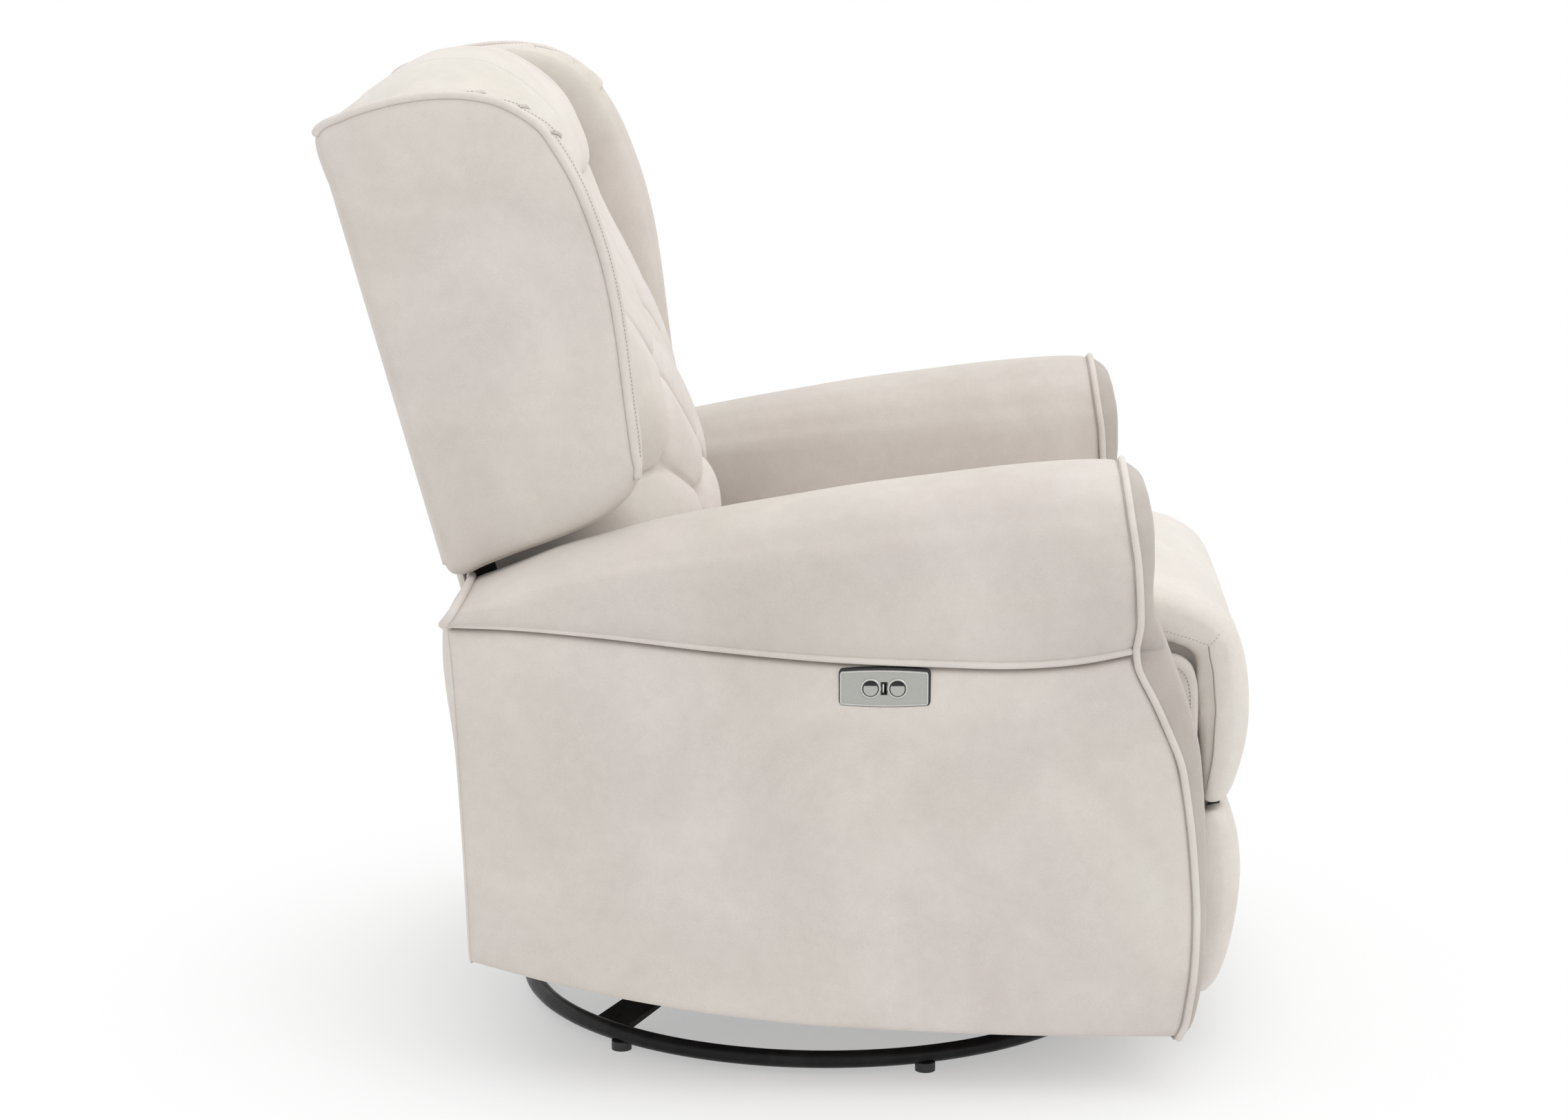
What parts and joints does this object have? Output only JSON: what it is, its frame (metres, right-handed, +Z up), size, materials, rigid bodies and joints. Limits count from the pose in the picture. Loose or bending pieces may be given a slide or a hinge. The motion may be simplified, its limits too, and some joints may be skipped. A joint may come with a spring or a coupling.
{
  "type": "power reclining glider chair",
  "caption": "Upholstered wingback nursery glider on a swivelling ring base, with a powered recline and leg rest worked from a panel on one arm.",
  "frame": {"origin": "on the floor, on the swivel axis at the base ring's centre", "axes": "+Z up, -Y the way the sitter faces, +X towards the sitter's left"},
  "size_m": [0.836, 0.985, 1.071],
  "materials": {
    "velvet": "brushed light greige velvet",
    "black_paint": "semi-gloss black enamel",
    "foot_plastic": "matte",
    "zinc_steel": "zinc plated",
    "grey_steel": "satin powder coat",
    "plywood": "bare plywood",
    "control_silver": "silver painted, satin",
    "button_chrome": "polished",
    "black_plastic": "matte moulded",
    "track_aluminium": "extruded"
  },
  "bodies": {
    "base": {"base_ring": "black_paint", "base_cross": "black_paint", "base_feet": "foot_plastic", "bearing_race": "zinc_steel", "bearing_balls": "zinc_steel", "swivel_bolt": "zinc_steel"},
    "turntable": {"swivel_plate": "grey_steel", "glider_rails": "grey_steel", "glide_upper_pins": "zinc_steel"},
    "glide_front": {"glide_links_front": "grey_steel"},
    "glide_rear": {"glide_links_rear": "grey_steel"},
    "chassis": {"carriage_plate_left": "grey_steel", "carriage_plate_right": "grey_steel", "glide_lower_pins": "zinc_steel", "mechanism_plate_left": "grey_steel", "mechanism_plate_right": "grey_steel", "cross_tubes": "black_paint", "frame_pivot_pins": "zinc_steel", "seat_rails": "plywood", "seat_springs": "grey_steel", "seat_cushion": "velvet", "arm_frame_left": "plywood", "arm_frame_right": "plywood", "side_panel_left": "velvet", "side_panel_right": "velvet", "arm_pad_left": "velvet", "arm_pad_right": "velvet", "arm_facing_left": "velvet", "arm_facing_right": "velvet", "rear_skirt": "velvet", "switch_plate": "control_silver", "switch_housing": "black_plastic", "usb_port": "black_plastic", "actuator_motor": "black_plastic", "actuator_track": "track_aluminium", "power_inlet": "black_plastic"},
    "back": {"back_brackets": "grey_steel", "back_frame": "plywood", "outer_back_panel": "velvet", "back_cushion": "velvet", "crown": "velvet", "wing_left": "velvet", "wing_right": "velvet", "wing_frame_left": "plywood", "wing_frame_right": "plywood"},
    "flap": {"flap_brackets": "grey_steel", "chaise_board": "plywood", "chaise_pad": "velvet"},
    "ottoman": {"ottoman_brackets": "grey_steel", "ottoman_board": "plywood", "ottoman_pad": "velvet"},
    "drive_links": {"footrest_drive_links": "grey_steel", "torque_tube": "grey_steel"},
    "couplers": {"footrest_couplers": "grey_steel"},
    "stays": {"footrest_stays": "grey_steel"},
    "nut": {"drive_nut": "black_plastic"},
    "open_button": {"button_open": "button_chrome"},
    "close_button": {"button_close": "button_chrome"}
  },
  "joints": [
    {"name": "swivel", "type": "hinge", "parent": "base", "child": "turntable", "pos_m": [0, 0, 0.05], "axis": [0, 0, 1], "continuous": true},
    {"name": "glide", "type": "hinge", "parent": "turntable", "child": "glide_front", "pos_m": [0, -0.15, 0.225], "axis": [-1, 0, 0], "range_deg": [-22, 22]},
    {"name": "glide_rear_swing", "type": "hinge", "parent": "turntable", "child": "glide_rear", "pos_m": [0, 0.15, 0.225], "axis": [-1, 0, 0], "range_deg": [-22, 22]},
    {"name": "glide_level", "type": "hinge", "parent": "glide_front", "child": "chassis", "pos_m": [0, -0.15, 0.095], "axis": [-1, 0, 0], "range_deg": [-22, 22]},
    {"name": "recline", "type": "hinge", "parent": "chassis", "child": "back", "pos_m": [0, 0.29, 0.4], "axis": [-1, 0, 0], "range_deg": [0, 36]},
    {"name": "footrest", "type": "hinge", "parent": "chassis", "child": "flap", "pos_m": [0, -0.384, 0.438], "axis": [-1, 0, 0], "range_deg": [0, 78]},
    {"name": "ottoman_tilt", "type": "hinge", "parent": "flap", "child": "ottoman", "pos_m": [0, -0.431, 0.271], "axis": [-1, 0, 0], "range_deg": [0, 7.8]},
    {"name": "drive_link_swing", "type": "hinge", "parent": "chassis", "child": "drive_links", "pos_m": [0, -0.308, 0.362], "axis": [-1, 0, 0], "range_deg": [0, 78]},
    {"name": "coupler_swing", "type": "hinge", "parent": "drive_links", "child": "couplers", "pos_m": [0, -0.316, 0.224], "axis": [-1, 0, 0], "range_deg": [-78, 0]},
    {"name": "stay_swing", "type": "hinge", "parent": "couplers", "child": "stays", "pos_m": [0, -0.385, 0.312], "axis": [-1, 0, 0], "range_deg": [0, 68]},
    {"name": "nut_travel", "type": "slide", "parent": "chassis", "child": "nut", "axis": [0, -1, 0], "range_m": [0, 0.067]},
    {"name": "open_button_press", "type": "slide", "parent": "chassis", "child": "open_button", "axis": [1, 0, 0], "range_m": [0, 0.0015], "stiffness_N_per_m": 400},
    {"name": "close_button_press", "type": "slide", "parent": "chassis", "child": "close_button", "axis": [1, 0, 0], "range_m": [0, 0.0015], "stiffness_N_per_m": 400}
  ],
  "couplings": [
    {"joint": "glide_rear_swing", "follows": "glide", "ratio": 1},
    {"joint": "glide_level", "follows": "glide", "ratio": -1},
    {"joint": "ottoman_tilt", "follows": "footrest", "ratio": 0.1},
    {"joint": "drive_link_swing", "follows": "footrest", "ratio": 1},
    {"joint": "coupler_swing", "follows": "footrest", "ratio": -1},
    {"joint": "stay_swing", "follows": "footrest", "ratio": 0.86},
    {"joint": "nut_travel", "follows": "footrest", "m_per_rad": 0.0485}
  ]
}
